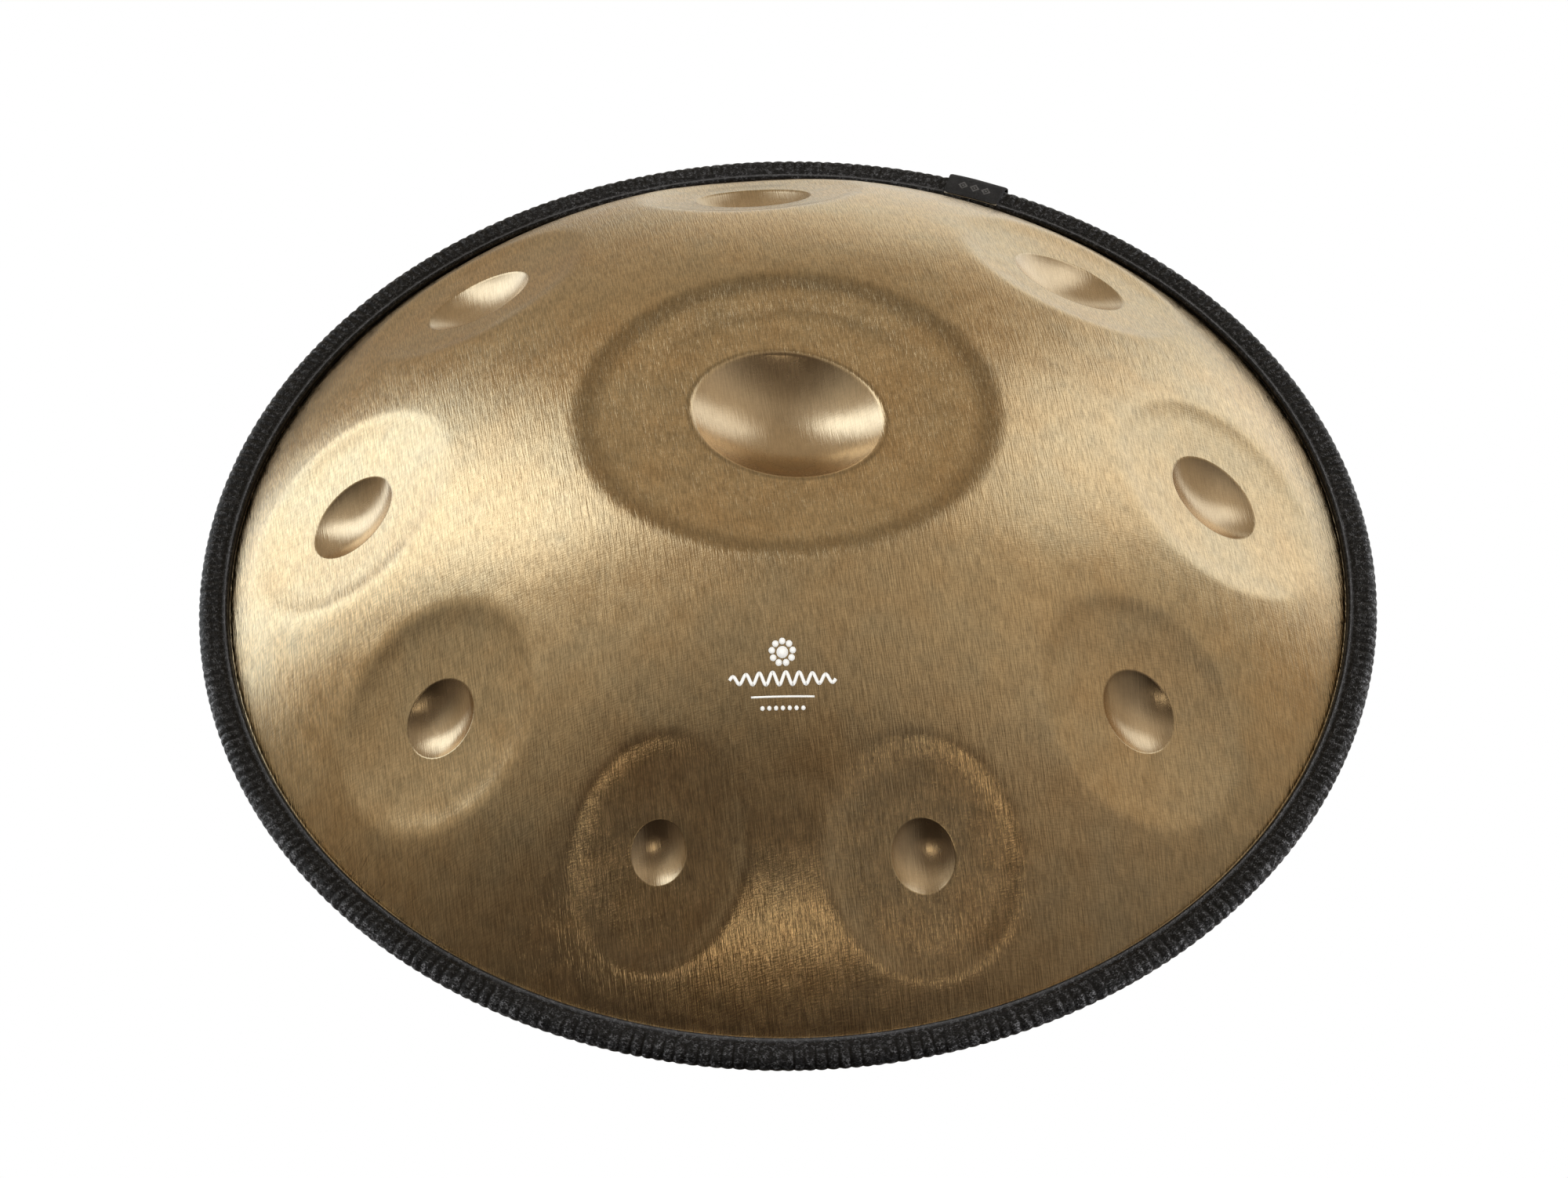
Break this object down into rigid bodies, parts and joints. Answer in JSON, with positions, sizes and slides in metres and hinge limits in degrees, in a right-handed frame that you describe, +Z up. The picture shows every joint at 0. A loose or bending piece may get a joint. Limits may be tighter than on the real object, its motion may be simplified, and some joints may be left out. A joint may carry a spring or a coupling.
{
  "type": "handpan",
  "caption": "Handpan: two bonded steel bowls with a sunk centre note, a ring of dimpled tone fields, a lower sound port and a black ribbed edge trim.",
  "frame": {"origin": "on the axis of the drum, level with the lowest point of the sound port's rolled lip", "axes": "+Z up along the drum's axis; -Y towards the player's side with the two smallest tone fields; +X to the player's right"},
  "size_m": [0.5599, 0.5599, 0.2454],
  "materials": {
    "gold_steel": "brushed heat-toned gold-brown steel sheet, satin",
    "bond_adhesive": "cured dark grey adhesive",
    "trim_vinyl": "black grained soft vinyl with ribs",
    "core_steel": "plain zinc-coated steel strip",
    "tag_cloth": "black woven tape with a grey woven pattern",
    "tag_film": "thin white adhesive film and ink"
  },
  "bodies": {
    "root": {"upper_shell": "gold_steel", "lower_shell": "gold_steel", "bond_ring": "bond_adhesive", "rim_trim": "trim_vinyl", "trim_core": "core_steel", "label_tag": "tag_cloth", "tag_adhesive": "tag_film"}
  },
  "joints": []
}
